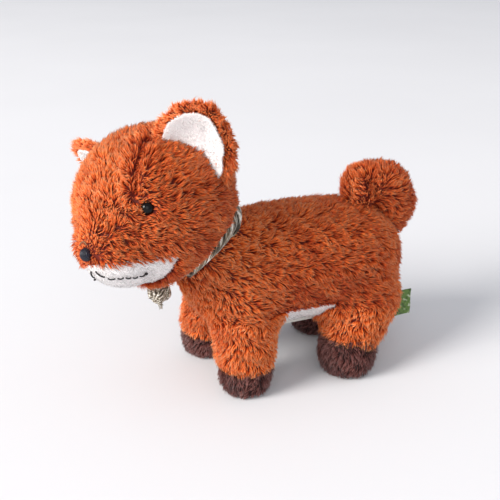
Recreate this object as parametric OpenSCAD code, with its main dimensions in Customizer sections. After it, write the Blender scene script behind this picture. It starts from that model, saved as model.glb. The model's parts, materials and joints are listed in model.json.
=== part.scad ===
// Small standing plush animal with a turning head, a wagging tail and a battery-powered core.
// It looks along -X and its left side is at -Y. The ground is the plane z = 0.

/* [Stance] */
// Distance between the front and rear paw centres
wheelbase = 66; // [60:1:72]
// Distance between the front paw centres
front_track = 53; // [50:1:58]
// Distance between the rear paw centres
rear_track = 58; // [54:1:62]
// How far the front right paw stands ahead of the left one
front_step = 5; // [0:1:8]
// How far the rear right paw stands behind the left one
rear_step = 8; // [0:1:10]

/* [Torso] */
// Length of the stuffed torso
torso_len = 134; // [130:1:150]
// Diameter of the stuffed torso
torso_d = 66; // [64:1:74]
// Height of the torso's axis above the ground
torso_z = 65; // [62:1:74]
// Width of the pale belly panel
belly_w = 48; // [44:1:54]

/* [Neck] */
// Lean of the neck axis forward from vertical
neck_lean = 40; // [30:1:45]
// Diameter of the stuffed neck
neck_d = 50; // [50:1:58]
// Thickness of the rolled scarf
scarf_t = 8; // [6:0.5:9]

/* [Head] */
// Diameter of the round head
head_d = 80; // [76:1:86]
// Diameter of the snout
snout_d = 43; // [36:1:46]
// How far the head is turned to its left at rest
head_rest = 29; // [0:1:30]
// Width of an ear
ear_w = 40; // [32:1:48]
// Height of an ear
ear_h = 34; // [28:1:38]
// Diameter of an eye
eye_d = 8; // [6:0.5:10]

/* [Legs] */
// Diameter of a leg above its paw
leg_d = 28; // [24:1:30]
// Diameter of a front paw
front_paw_d = 29; // [28:1:34]
// Diameter of a rear paw
rear_paw_d = 33; // [30:1:36]
// Height of a paw
paw_h = 16; // [13:1:20]

/* [Tail] */
// Diameter of the curled tail at its thickest
tail_d = 28; // [24:1:30]

/* [Electronics core] */
// Wall of the plastic core
wall = 2; // [1.6:0.1:2.4]
// Width of the core
core_w = 34; // [32:1:36]
// Diameter of a battery cell
cell_d = 10.5; // [10.5:0.5:11]
// Length of a battery cell
cell_len = 44.5; // [40:0.5:46]
// Tooth size of the gears
gear_module = 0.5; // [0.4:0.05:0.5]
// Teeth on the gear that turns the head
neck_teeth = 40; // [36:1:40]
// Teeth on the gear that wags the tail
tail_teeth = 30; // [26:1:32]
// Teeth on both motor pinions
pinion_teeth = 12; // [10:1:12]
// Diameter of the neck shaft
neck_shaft_d = 5; // [4:0.5:5]
// Diameter of the tail shaft
tail_shaft_d = 4; // [3:0.5:4]
// Diameter of the speaker
speaker_d = 28; // [24:1:28]
// Travel of the press button
button_travel = 1.2; // [0.8:0.1:1.6]
// Travel of the power switch
switch_travel = 3; // [2:0.5:4]

/* [Hidden] */
$fn = 64;

RUST = "#b5531f";
CREAM = "#e9e4e0";
BROWN = "#4a2a26";
OLIVE = "#5d5347";
SHELL = "#d8d8d4";
STEEL = "#a9adb2";

// Clearances
soft_gap = 0.5;       // between the stuffing and the core
turn_gap = 2.5;       // between a turning soft part and its neighbour
run_gap = 0.04;       // radial, between a shaft and its bush
slip_gap = 0.3;       // between a loose part and its opening
eps = 0.01;

// The box that holds the whole animal is centred on the origin.
box_shift = [18.2, -6.2, 0];
module placed() {
    translate(box_shift) children();
}

// Torso: a body of revolution about a level axis, which the leaning neck joins.
torso_mid = 9;
torso_r = torso_d / 2;
torso_bluntness = 3.2;
torso_steps = 28;
neck_pos = [torso_mid - torso_len / 2 + 6, 0, torso_z + torso_r * 0.7];
neck_len = 34;

module at_neck() {
    translate(neck_pos) rotate([0, -neck_lean, 0]) children();
}

// Radius of the torso at a share t of its half length
function torso_radius(t, r) = r * sqrt(1 - pow(abs(t), torso_bluntness));
function torso_outline(half, r) = [
    for (i = [0:torso_steps])
        let (a = -90 + 180 * i / torso_steps, t = sin(a))
        [i == 0 || i == torso_steps ? 0 : torso_radius(t, r), t * half]
];

module torso_solid(grow = 0) {
    half = torso_len / 2 + grow;
    intersection() {
        union() {
            translate([torso_mid, 0, torso_z]) rotate([0, 90, 0])
                rotate_extrude() polygon(torso_outline(half, torso_r + grow));
            at_neck() translate([0, 0, -neck_len]) cylinder(h = neck_len, d = neck_d + 2 * grow);
        }
        at_neck() translate([0, 0, -2 * torso_len]) cylinder(h = 2 * torso_len, r = 2 * torso_len);
    }
}

// Head: a ball with a snout, over the neck plane
head_r = head_d / 2;
head_rise = head_r - 7;
head_fwd = 3.3;
snout_at = [-26, 0, -16];
head_floor = 0.5;

module at_head_turn() {
    at_neck() rotate([0, 0, head_rest]) children();
}
module at_head() {
    at_head_turn() translate([-head_fwd, 0, head_rise]) rotate([0, neck_lean, 0]) children();
}
module above_neck(z0) {
    intersection() {
        children();
        at_head_turn() translate([0, 0, z0]) cylinder(h = 3 * head_d, r = 2 * head_d);
    }
}
module head_solid(grow = 0) {
    at_head() {
        sphere(d = head_d + 2 * grow, $fn = 96);
        translate(snout_at) sphere(d = snout_d + 2 * grow);
    }
}

// Paws and legs, each given by which end and which side it is on
left = -1;
right = 1;
front = -1;
rear = 1;
function step_of(end, side) = side == left ? 0 : end == front ? -front_step : rear_step;
function track_of(end) = end == front ? front_track : rear_track;
function paw_at(end, side) = [end * wheelbase / 2 + step_of(end, side), side * track_of(end) / 2, 0];
function paw_d(end) = end == front ? front_paw_d : rear_paw_d;
thigh_d = 44;
shoulder_d = 35;

module leg_solid(end, side) {
    p = paw_at(end, side);
    top_d = end == front ? shoulder_d : thigh_d;
    top_x = end * wheelbase / 2 + (end == front ? 2 : 15.5);
    top_z = torso_z - (end == front ? 13 : 21);
    hull() {
        translate([top_x, side * (torso_r - top_d / 2 + 3), top_z]) sphere(d = top_d, $fn = 32);
        translate([p.x, p.y, paw_h]) sphere(d = leg_d, $fn = 32);
    }
}
module leg(end, side) {
    p = paw_at(end, side);
    difference() {
        leg_solid(end, side);
        torso_solid();
        belly_opening();
        belly_solid();
        translate([p.x, p.y, -50 + paw_h]) cylinder(h = 50, d = 2 * leg_d);
        translate([-torso_len, side == left ? -slip_gap / 2 : slip_gap / 2 - torso_len, 0])
            cube([3 * torso_len, torso_len, 2 * torso_z]);
    }
}
// A flat-soled bun: a sole, a bulging side and a top as wide as the leg
module paw(end, side) {
    r = paw_d(end) / 2;
    bulge_z = paw_h * 0.6;
    sole_r = r * 0.55;
    translate(paw_at(end, side)) rotate_extrude() polygon(concat(
        [[0, paw_h], [0, 0], [sole_r, 0]],
        [for (a = [-60:20:0]) [sole_r + (r - sole_r) * cos(a), bulge_z + bulge_z * sin(a)]],
        [for (a = [30:30:90]) [leg_d / 2 + (r - leg_d / 2) * cos(a),
                               bulge_z + (paw_h - bulge_z) * sin(a)]]
    ));
}

// Electronics core: a level main box, a slimmer tail box with a well for its motor, and a leaning neck box
core_x = [-26, 41];
tail_box_x = [38, 68];
tail_box_w = 22;
tail_box_z = [torso_z - 14, torso_z + 13];
well_x = [38.5, 57];
well_w = 16;
core_z = [torso_z - 25, torso_z + 13];
neck_box_x = [-13, 20.3];
neck_box_w = 25.6;
neck_box_z = [-36, -2];

module box(x, w, z) {
    translate([x[0], -w / 2, z[0]]) cube([x[1] - x[0], w, z[1] - z[0]]);
}
function widen(v, g) = [v[0] - g, v[1] + g];
module core_solid(grow) {
    box(widen(core_x, grow), core_w + 2 * grow, widen(core_z, grow));
    box(widen(tail_box_x, grow), tail_box_w + 2 * grow, widen(tail_box_z, grow));
    box(widen(well_x, grow), well_w + 2 * grow, widen(core_z, grow));
    at_neck() box(widen(neck_box_x, grow), neck_box_w + 2 * grow, widen(neck_box_z, grow));
}

// Battery box below the core, with a plate that shows at the belly
plate_z = torso_z - torso_r - 0.5;
plate_t = 1.6;
cell_gap = 0.7;
contact_room = 4;
bay_x0 = -20;
bay_x = [bay_x0, bay_x0 + cell_len + 2 * contact_room];
bay_w = 2 * cell_d + cell_gap + 1.6;
bay_top = plate_z + plate_t + cell_d + 1.5;
cell_z = plate_z + plate_t + 0.7 + cell_d / 2;
switch_x = bay_x[1] + 10;
plate_x = [bay_x[0] - 5, switch_x + 7];
plate_w = bay_w + 7;
battery_wall = 1.5;
door_screw_x = [bay_x[0] - 2.5, bay_x[1] + 2.5];
door_x = widen(bay_x, 4.5);
door_t = 1.5;
screw_d = 2;
screw_head_d = 3.8;
screw_head_t = 1.2;
switch_body = [9, 5, 4];

belly_round = 12;
module belly_solid() {
    hull() for (x = [plate_x[0] + 5, plate_x[1] - 5], s = [left, right])
        translate([x, s * (belly_w / 2 - belly_round), plate_z + belly_round - slip_gap])
            sphere(r = belly_round, $fn = 32);
}
module belly_opening() {
    box(widen(plate_x, slip_gap), plate_w + 2 * slip_gap, [-eps, core_z[0] + 1]);
}

// Press button on top of the core
button_x = 2;
button_d = 9;
button_rise = 3;
button_flange = 1.2;
button_stem = 3;
top_wall_z = [core_z[1] - wall, core_z[1]];

// Gears on the leaning neck axis and on the upright tail axis
tail_pos = [57.5, 0, 0];
gear_t = 3;
pinion_t = 5;
pinion_bore = 3;
neck_gear_z = -14.5;
tail_gear_z = core_z[1] - wall - 6.5;
neck_centres = gear_module * (neck_teeth + pinion_teeth) / 2;
tail_centres = gear_module * (tail_teeth + pinion_teeth) / 2;
bush_wall = 1.5;
motor = [12, 10, 15];
gearbox_len = 9;

// An involute gear: the flank angle, the tooth height and the backlash are shared by all gears.
flank = 28;
tooth_top = 0.8;
tooth_root = 1.05;
root_relief = 0.12;
backlash = 0.12;
flank_steps = 5;
function involute(rb, a) = [rb * (cos(a) + a * PI / 180 * sin(a)), rb * (sin(a) - a * PI / 180 * cos(a))];
function turn(p, a) = [p.x * cos(a) - p.y * sin(a), p.x * sin(a) + p.y * cos(a)];
function inv_deg(a) = tan(a) * 180 / PI - a;
function roll_to(rb, r) = r <= rb ? 0 : sqrt(pow(r / rb, 2) - 1) * 180 / PI;
function tooth_half(teeth) = 90 / teeth - 45 * backlash / PI / (gear_module * teeth / 2) + inv_deg(flank);
function tooth_side(teeth) =
    let (r = gear_module * teeth / 2, rb = r * cos(flank),
         a1 = roll_to(rb, r + tooth_top * gear_module), a0 = roll_to(rb, r - tooth_root * gear_module))
    [for (i = [0:flank_steps])
        turn(involute(rb, a0 + (a1 - a0) * i / flank_steps), -tooth_half(teeth))];
function gear_outline(teeth) =
    let (side = tooth_side(teeth), root = [gear_module * (teeth / 2 - tooth_root - root_relief), 0],
         half = -atan2(side[0].y, side[0].x))
    [for (k = [0:teeth - 1])
        for (p = concat([turn(root, -half)], side,
                        [for (i = [flank_steps:-1:0]) [side[i].x, -side[i].y]], [turn(root, half)]))
            turn(p, k * 360 / teeth)];
module gear(teeth, bore, t, phase) {
    difference() {
        rotate([0, 0, phase]) linear_extrude(height = t) polygon(gear_outline(teeth));
        translate([0, 0, -1]) cylinder(h = t + 2, d = bore);
    }
}
// A gearmotor with its output on top: a flat-sided can and a square gearbox with a bored nose
module gearmotor() {
    difference() {
        union() {
            translate([0, 0, -gearbox_len / 2]) cube([motor.x, motor.y, gearbox_len], center = true);
            translate([0, 0, -gearbox_len - motor.z]) intersection() {
                cylinder(h = motor.z, d = motor.x);
                translate([0, 0, motor.z / 2]) cube([motor.x, motor.y, motor.z], center = true);
            }
            cylinder(h = 0.8, d = 6);
        }
        translate([0, 0, -gearbox_len + 2]) cylinder(h = gearbox_len, d = pinion_bore + 2 * run_gap);
    }
}
// A pinion on its output shaft, which runs in the gearbox
module pinion(phase) {
    gear(pinion_teeth, pinion_bore, pinion_t, phase);
    translate([0, 0, -6]) cylinder(h = 6 + pinion_t + 1, d = pinion_bore);
}
module screw(len) {
    difference() {
        union() {
            cylinder(h = screw_head_t, d = screw_head_d);
            translate([0, 0, -len]) cylinder(h = len + eps, d = screw_d);
        }
        for (a = [0, 90]) rotate([0, 0, a]) translate([0, 0, 0.9]) cube([2.4, 0.5, 1], center = true);
    }
}

module at_neck_pinion() {
    at_neck() translate([neck_centres, 0, neck_gear_z - 1]) children();
}
module at_tail_pinion() {
    translate([tail_pos.x - tail_centres, 0, tail_gear_z - 1]) children();
}

// Soft covers
module torso_cover() color(RUST) placed() difference() {
    torso_solid();
    core_solid(soft_gap);
    belly_opening();
    at_neck() translate([0, 0, -4]) cylinder(h = 5, d = neck_shaft_d + 2 * bush_wall + 2);
    translate([button_x, 0, core_z[1]]) cylinder(h = button_rise + 1, d = button_d + 3);
    translate([tail_pos.x, 0, core_z[1]]) cylinder(h = torso_r, d = 15);
}
module belly_panel() color(CREAM) placed() difference() {
    belly_solid();
    torso_solid();
    belly_opening();
}
scarf_r = neck_d / 2 + scarf_t / 4;
scarf_z = -2.8;
knot_d = 12;
knot_at = [-scarf_r - 5, 0, scarf_z - 2];
scarf_tail_d = 4;
scarf_tail_len = 9;
module scarf_band() color(OLIVE) placed() difference() {
    at_neck() translate([0, 0, scarf_z]) rotate_extrude() translate([scarf_r, 0]) circle(d = scarf_t);
    torso_solid();
    at_neck() translate(knot_at) sphere(d = knot_d + 0.1);
}
module scarf_knot() color(OLIVE) placed() at_neck() translate(knot_at) {
    sphere(d = knot_d);
    for (s = [-1, 1]) rotate([s * 40, -125, 0])
        cylinder(h = knot_d / 2 + scarf_tail_len, d = scarf_tail_d);
}
label_size = [16, 0.8, 17];
label_at = [torso_mid + torso_len / 2 - 6, -16, torso_z - 43];
module side_label() color("#5f7a35") placed() difference() {
    translate(label_at) cube(label_size);
    torso_solid();
    leg_solid(rear, left);
}
module leg_front_left() color(RUST) placed() leg(front, left);
module leg_front_right() color(RUST) placed() leg(front, right);
module leg_rear_left() color(RUST) placed() leg(rear, left);
module leg_rear_right() color(RUST) placed() leg(rear, right);
module paw_front_left() color(BROWN) placed() paw(front, left);
module paw_front_right() color(BROWN) placed() paw(front, right);
module paw_rear_left() color(BROWN) placed() paw(rear, left);
module paw_rear_right() color(BROWN) placed() paw(rear, right);

// Core shells, split down the middle
boss_d = 5;
boss_inset = wall + boss_d / 2 - 0.5;
core_screw_at = [
    [core_x[0] + 6, core_z[0] + 10, core_w],
    [core_x[1] - boss_inset, core_z[0] + 10, core_w],
    [tail_box_x[1] - boss_inset, torso_z - 8, tail_box_w],
];
speaker_x = 22;
speaker_z = torso_z - 4;
module core_half(side) {
    difference() {
        union() {
            difference() {
                core_solid(0);
                core_solid(-wall);
            }
            intersection() {
                core_solid(0);
                for (p = core_screw_at) translate([p[0], -p[2] / 2, p[1]])
                    rotate([-90, 0, 0]) cylinder(h = p[2], d = boss_d);
            }
        }
        translate([-3 * torso_len, side == left ? 0 : -torso_len, 0])
            cube([6 * torso_len, torso_len, 3 * torso_z]);
        at_neck() translate([0, 0, neck_box_z[1] - 3 * wall])
            cylinder(h = 6 * wall, d = neck_shaft_d + 2 * bush_wall);
        translate([tail_pos.x, 0, core_z[1] - 3 * wall])
            cylinder(h = 6 * wall, d = tail_shaft_d + 2 * bush_wall);
        translate([button_x, 0, core_z[1] - 3 * wall]) cylinder(h = 6 * wall, d = button_d + 2 * 0.1);
        box(widen(bay_x, battery_wall + slip_gap), bay_w + 2 * (battery_wall + slip_gap),
            [core_z[0] - 1, core_z[0] + wall + 1]);
        for (p = core_screw_at) translate([p[0], p[2] / 2, p[1]]) rotate([90, 0, 0]) {
            translate([0, 0, -1]) cylinder(h = p[2], d = screw_d);
            translate([0, 0, -1]) cylinder(h = 1 + screw_head_t, d = screw_head_d + 0.2);
        }
        if (side == left) for (r = [0:1], k = [0:5 * r])
            translate([speaker_x, 0, speaker_z]) rotate([0, 60 * k, 0])
                translate([r * speaker_d / 4, 0, 0]) rotate([90, 0, 0]) cylinder(h = core_w, d = 2.5);
    }
}
module core_left() color(SHELL) placed() core_half(left);
module core_right() color(SHELL) placed() core_half(right);
module core_screws() color(STEEL) placed() for (p = core_screw_at)
    translate([p[0], p[2] / 2 - screw_head_t, p[1]]) rotate([-90, 0, 0]) screw(p[2] - 3);

module battery_box() color(SHELL) placed() difference() {
    union() {
        box(plate_x, plate_w, [plate_z, plate_z + plate_t]);
        box(widen(bay_x, battery_wall), bay_w + 2 * battery_wall, [plate_z, bay_top + battery_wall]);
        for (x = door_screw_x) translate([x, 0, plate_z]) cylinder(h = 6, d = boss_d);
    }
    box(bay_x, bay_w, [plate_z - 1, bay_top]);
    box(widen(door_x, slip_gap), bay_w + 2, [plate_z - 1, plate_z + door_t - 0.4]);
    for (x = door_screw_x) translate([x, 0, plate_z - 1]) cylinder(h = 8, d = screw_d);
    box([switch_x - switch_travel / 2 - 2, switch_x + switch_travel / 2 + 2], 3.4,
        [plate_z - 1, plate_z + plate_t + 1]);
}
cell_x0 = bay_x[0] + contact_room;
module battery_cells() color("#3f6f9a") placed() for (s = [left, right])
    translate([cell_x0 + cell_len / 2, s * (cell_d + cell_gap) / 2, cell_z]) rotate([0, 90 * s, 0]) {
        translate([0, 0, -cell_len / 2]) cylinder(h = cell_len - 1, d = cell_d);
        translate([0, 0, cell_len / 2 - 1]) cylinder(h = 1, d = 3.8);
    }
spring_turns = 3;
module battery_contacts() color(STEEL) placed() {
    for (x = [bay_x[0] + 0.1, bay_x[1] - 0.6], s = [left, right])
        translate([x, s * (cell_d + cell_gap) / 2 - 4, cell_z - 4]) cube([0.5, 8, 8]);
    for (s = [left, right], k = [0:spring_turns - 1])
        translate([s == left ? cell_x0 + cell_len + 0.45 + 0.9 * k : cell_x0 - 0.45 - 0.9 * k,
                   s * (cell_d + cell_gap) / 2, cell_z])
            rotate([0, 90, 0]) rotate_extrude() translate([2 + 0.4 * k, 0]) circle(d = 0.9, $fn = 16);
}
module battery_door() color(SHELL) placed() difference() {
    box(door_x, bay_w + 2 - 2 * slip_gap, [plate_z, plate_z + door_t - 0.45]);
    for (x = door_screw_x) translate([x, 0, plate_z - 1]) cylinder(h = 4, d = screw_d + 0.4);
    for (k = [-2:2]) translate([(bay_x[0] + bay_x[1]) / 2 + 3 * k, 0, plate_z])
        cube([1, 12, 0.6], center = true);
}
module door_screws() color(STEEL) placed() for (x = door_screw_x)
    translate([x, 0, plate_z]) mirror([0, 0, 1]) screw(5);
module switch_body() color("#33363a") placed() difference() {
    box([switch_x - switch_body.x / 2, switch_x + switch_body.x / 2], switch_body.y,
        [plate_z + plate_t, plate_z + plate_t + switch_body.z]);
    box([switch_x - switch_travel / 2 - 1.6, switch_x + switch_travel / 2 + 1.6], 3,
        [plate_z, plate_z + plate_t + 2]);
}
module switch_slider() color("#22252a") placed()
    box([switch_x - switch_travel / 2 - 1.2, switch_x - switch_travel / 2 + 1.2], 2.6,
        [plate_z - 0.8, plate_z + plate_t + 1.7]);

board_t = 1.6;
board_y = core_w / 2 - wall - 3;
module circuit_board() color("#2f6b45") placed() difference() {
    translate([-6, board_y, core_z[0] + 12]) cube([40, board_t, 20]);
    for (x = [-3, 31], z = [15, 29]) translate([x, board_y - 1, core_z[0] + z])
        rotate([-90, 0, 0]) cylinder(h = board_t + 2, d = 2);
}
module board_parts() color("#1c1c1e") placed() {
    translate([2, board_y - 2, core_z[0] + 18]) cube([8, 2, 8]);
    translate([20, board_y - 1.5, core_z[0] + 16]) cube([5, 1.5, 4]);
    for (k = [0:2]) translate([16 + 5 * k, board_y, core_z[0] + 25])
        rotate([90, 0, 0]) cylinder(h = 5, d = 4);
}
module at_speaker() {
    translate([speaker_x, -core_w / 2 + wall, speaker_z]) rotate([-90, 0, 0]) children();
}
module speaker() color(STEEL) placed() at_speaker() {
    difference() {
        cylinder(h = 2.4, d = speaker_d);
        translate([0, 0, -1]) cylinder(h = 2.4, d = speaker_d - 3);
    }
    translate([0, 0, 2.4]) cylinder(h = 3, d = speaker_d * 0.45);
}
module speaker_cone() color("#222222") placed() at_speaker() difference() {
    translate([0, 0, 0.2]) cylinder(h = 1, d1 = speaker_d - 3.4, d2 = 8);
    translate([0, 0, -0.4]) cylinder(h = 1, d1 = speaker_d - 3.4, d2 = 7);
}

// Press button and the switch that it works
module press_button() color("#c9c2b8") placed() translate([button_x, 0, 0]) {
    translate([0, 0, core_z[1] - wall - button_flange - 0.05])
        cylinder(h = button_flange, d = button_d + 3);
    translate([0, 0, core_z[1] - wall - 0.1]) cylinder(h = wall + button_rise + 0.1, d = button_d);
    translate([0, 0, core_z[1] - wall - button_flange - 3]) cylinder(h = 3, d = button_stem);
}
module press_switch() color("#2a2a2c") placed() translate([button_x, 0, 0]) {
    z = core_z[1] - wall - button_flange - 3 - button_travel - 0.1;
    translate([-3, -3, z - 4]) cube([6, 6, 3]);
    translate([0, 0, z - 1]) cylinder(h = 1, d = 3.5);
    translate([-4, -core_w / 2 + wall, z - 5.5]) cube([8, core_w / 2 - wall + board_y - 2.5, 1.5]);
}

// Neck drive
neck_pinion_phase = pinion_teeth % 2 == 0 ? 180 / pinion_teeth : 0;
tail_pinion_phase = tail_teeth % 2 == 0 ? 180 / pinion_teeth : 0;
module neck_motor() color(STEEL) placed() at_neck_pinion()
    translate([0, 0, -0.9]) rotate([0, 0, 90]) gearmotor();
module neck_pinion() color("#c9a24a") placed() at_neck_pinion() pinion(neck_pinion_phase);
module neck_gear() color("#f0eee8") placed() at_neck() translate([0, 0, neck_gear_z])
    gear(neck_teeth, neck_shaft_d, gear_t, 0);
module neck_shaft() color(STEEL) placed() at_neck()
    translate([0, 0, neck_gear_z - 2]) cylinder(h = 18 - neck_gear_z, d = neck_shaft_d);
module neck_bush() color("#b98a3d") placed() at_neck() translate([0, 0, neck_box_z[1] - 6])
    difference() {
        cylinder(h = 7, d = neck_shaft_d + 2 * bush_wall);
        translate([0, 0, -1]) cylinder(h = 9, d = neck_shaft_d + 2 * run_gap);
    }

// Tail drive
module tail_motor() color(STEEL) placed() at_tail_pinion() translate([0, 0, -0.9]) gearmotor();
module tail_pinion() color("#c9a24a") placed() at_tail_pinion() pinion(tail_pinion_phase);
module tail_gear() color("#f0eee8") placed() translate([tail_pos.x, 0, tail_gear_z])
    gear(tail_teeth, tail_shaft_d, gear_t, 0);
arm_z = core_z[1] + 3;
module tail_shaft() color(STEEL) placed() translate([tail_pos.x, 0, tail_gear_z - 2])
    cylinder(h = arm_z + 4 - tail_gear_z + 2, d = tail_shaft_d);
module tail_bush() color("#b98a3d") placed() translate([tail_pos.x, 0, core_z[1] - wall - 1.5])
    difference() {
        cylinder(h = 5, d = tail_shaft_d + 2 * bush_wall);
        translate([0, 0, -1]) cylinder(h = 7, d = tail_shaft_d + 2 * run_gap);
    }

// Head pieces
frame_z = 3;
module head_frame() color(SHELL) placed() at_head_turn() difference() {
    union() {
        translate([0, 0, frame_z]) cylinder(h = 2, r = 15);
        translate([0, 0, frame_z]) cylinder(h = 12, d = neck_shaft_d + 7);
    }
    translate([0, 0, frame_z - 1]) cylinder(h = 14, d = neck_shaft_d);
    for (a = [0:60:300]) rotate([0, 0, a]) translate([11, 0, frame_z - 1]) cylinder(h = 4, d = 2.5);
}
module head_screw() color(STEEL) placed() at_head_turn() translate([0, 0, 18 - 2]) difference() {
    cylinder(h = 1.5, d = neck_shaft_d + 4);
    translate([0, 0, -1]) cylinder(h = 4, d = neck_shaft_d - eps);
}
module frame_room() {
    at_head_turn() {
        translate([0, 0, -1]) cylinder(h = frame_z + 2 + soft_gap + 1, r = 15 + soft_gap);
        cylinder(h = 19, d = neck_shaft_d + 8);
    }
}
// The pale lower face is the part of the head below a nearly level seam.
muzzle_tilt = 0;
muzzle_level = -25;
module below_seam(gap) {
    intersection() {
        children();
        at_head() rotate([0, muzzle_tilt, 0]) translate([-2 * head_d, -2 * head_d, muzzle_level - gap - head_d])
            cube([4 * head_d, 4 * head_d, head_d]);
    }
}
module above_seam() {
    intersection() {
        children();
        at_head() rotate([0, muzzle_tilt, 0]) translate([-2 * head_d, -2 * head_d, muzzle_level])
            cube([4 * head_d, 4 * head_d, 2 * head_d]);
    }
}
seam_gap = 0.05;
eye_at = [-29, 31, 1];
function eye_dir(s) = [eye_at.x, s * eye_at.y, eye_at.z];
module at_eye(s) {
    d = eye_dir(s);
    at_head() rotate([0, acos(d.z / norm(d)), atan2(d.y, d.x)]) translate([0, 0, head_r]) children();
}
eye_stem_d = 2.4;
eye_stem = 6;
washer_d = 8;
washer_t = 1.2;
nose_at = [-snout_d / 2 - 1, 0, -1];
module at_nose() {
    at_head() translate(snout_at + nose_at) children();
}
nose_d = 8;
module head_cover() color(RUST) placed() difference() {
    above_neck(head_floor) above_seam() head_solid();
    frame_room();
    for (s = [left, right]) at_eye(s) translate([0, 0, -eye_stem - 1]) {
        cylinder(h = eye_stem + 2, d = eye_stem_d);
        cylinder(h = washer_t + 2, d = washer_d);
    }
    for (s = [left, right]) at_eye(s) sphere(d = eye_d);
    at_nose() sphere(d = nose_d);
}
module muzzle_panel() color(CREAM) placed() difference() {
    above_neck(head_floor) below_seam(seam_gap) head_solid();
    frame_room();
    at_nose() sphere(d = nose_d);
    at_head_turn() translate([0, 0, scarf_z]) rotate_extrude() translate([scarf_r, 0]) circle(d = scarf_t + 0.8);
}
module eye(s) {
    at_eye(s) {
        sphere(d = eye_d);
        translate([0, 0, -eye_stem]) cylinder(h = eye_stem, d = eye_stem_d);
    }
}
module eye_left() color("#0c0b0c") placed() eye(left);
module eye_right() color("#0c0b0c") placed() eye(right);
module eye_washers() color(SHELL) placed() for (s = [left, right]) at_eye(s)
    translate([0, 0, -eye_stem]) difference() {
        cylinder(h = washer_t, d = washer_d - 0.2);
        translate([0, 0, -1]) cylinder(h = washer_t + 2, d = eye_stem_d);
    }
module nose() color("#15131c") placed() at_nose() sphere(d = nose_d);

// The mouth is a row of short stitches that follow the snout's lower half.
stitch_n = 4;
stitch_d = 1;
mouth_drop = 42;
module mouth_stitches() color("#1a1718") placed() at_head() translate(snout_at) {
    r = (snout_d + stitch_d) / 2;
    for (s = [left, right], k = [0:stitch_n - 1])
        translate([0, 0, -r * sin(mouth_drop)]) rotate([0, 0, 180 - s * (8 + 20 * k)])
            rotate_extrude(angle = -s * 14) translate([r * cos(mouth_drop), 0])
                circle(d = stitch_d, $fn = 16);
}

// Ears: a cupped back and a paler lining inside the cup
ear_base = [4, 31.5, 21];
ear_up = [-0.07, 0.855, 0.513];
ear_back_way = [0.82, -0.25, 0.52];
cup_r = 28;
cup_t = 3.5;
lining_t = 1.4;
function unit(v) = v / norm(v);
function to_side(v, s) = [v.x, s * v.y, v.z];
module at_ear(s) {
    u = unit(to_side(ear_up, s));
    b0 = to_side(ear_back_way, s);
    b = unit(b0 - (b0 * u) * u);
    a = cross(u, b);
    o = to_side(ear_base, s) + (ear_h - ear_w / 2) * u - cup_r * b;
    at_head() multmatrix([[u.x, a.x, b.x, o.x], [u.y, a.y, b.y, o.y], [u.z, a.z, b.z, o.z], [0, 0, 0, 1]])
        children();
}
module ear_shell(s, outer, inner, w) {
    difference() {
        at_ear(s) difference() {
            intersection() {
                sphere(r = outer);
                cylinder(h = 2 * cup_r, d = w);
            }
            sphere(r = inner);
        }
        head_solid();
    }
}
module ear_back(s) {
    ear_shell(s, cup_r + cup_t / 2, cup_r - cup_t / 2, ear_w);
}
module ear_lining(s) {
    ear_shell(s, cup_r - cup_t / 2 , cup_r - cup_t / 2 - lining_t, ear_w - 5);
}
module ear_left() color(RUST) placed() ear_back(left);
module ear_right() color(RUST) placed() ear_back(right);
module ear_lining_left() color(CREAM) placed() ear_lining(left);
module ear_lining_right() color(CREAM) placed() ear_lining(right);

// Tail: an arm on the shaft inside a curl of four balls
tail_r = tail_d / 2;
tail_balls = [
    [[17, 0, core_z[1] + 6], tail_r - 4],
    [[17.5, 0, core_z[1] + 21], tail_r - 2],
    [[5.5, 0, core_z[1] + 30.5], tail_r - 3],
    [[-5, -4, core_z[1] + 28], tail_r - 3.5],
];
module tail_arm() color(SHELL) placed() translate([tail_pos.x, 0, arm_z]) difference() {
    union() {
        cylinder(h = 22, d = 8);
        translate([0, 0, 20]) rotate([0, 90, 0]) cylinder(h = 14, d = 4);
    }
    translate([0, 0, -1]) cylinder(h = 5, d = tail_shaft_d);
}
module tail_cover() color(RUST) placed() difference() {
    for (i = [0:2]) hull() for (b = [tail_balls[i], tail_balls[i + 1]])
        translate(tail_pos + b[0]) sphere(r = b[1], $fn = 32);
    torso_solid(turn_gap);
    translate([tail_pos.x, 0, arm_z]) {
        cylinder(h = 22, d = 8);
        translate([0, 0, 20]) rotate([0, 90, 0]) cylinder(h = 14, d = 4);
    }
}

torso_cover();
belly_panel();
scarf_band();
scarf_knot();
side_label();
leg_front_left();
leg_front_right();
leg_rear_left();
leg_rear_right();
paw_front_left();
paw_front_right();
paw_rear_left();
paw_rear_right();
core_left();
core_right();
core_screws();
battery_box();
battery_cells();
battery_contacts();
battery_door();
door_screws();
switch_body();
switch_slider();
circuit_board();
board_parts();
speaker();
speaker_cone();
press_button();
press_switch();
neck_motor();
neck_pinion();
neck_gear();
neck_shaft();
neck_bush();
tail_motor();
tail_pinion();
tail_gear();
tail_shaft();
tail_bush();
head_frame();
head_screw();
head_cover();
muzzle_panel();
ear_left();
ear_right();
ear_lining_left();
ear_lining_right();
eye_left();
eye_right();
eye_washers();
nose();
mouth_stitches();
tail_arm();
tail_cover();
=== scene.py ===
"""Small standing plush animal: stuffed covers with pile, a twisted scarf, a stitched face."""

import json
import math

import bpy
import numpy as np
from mathutils import Matrix, Vector, bvhtree, kdtree


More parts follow.
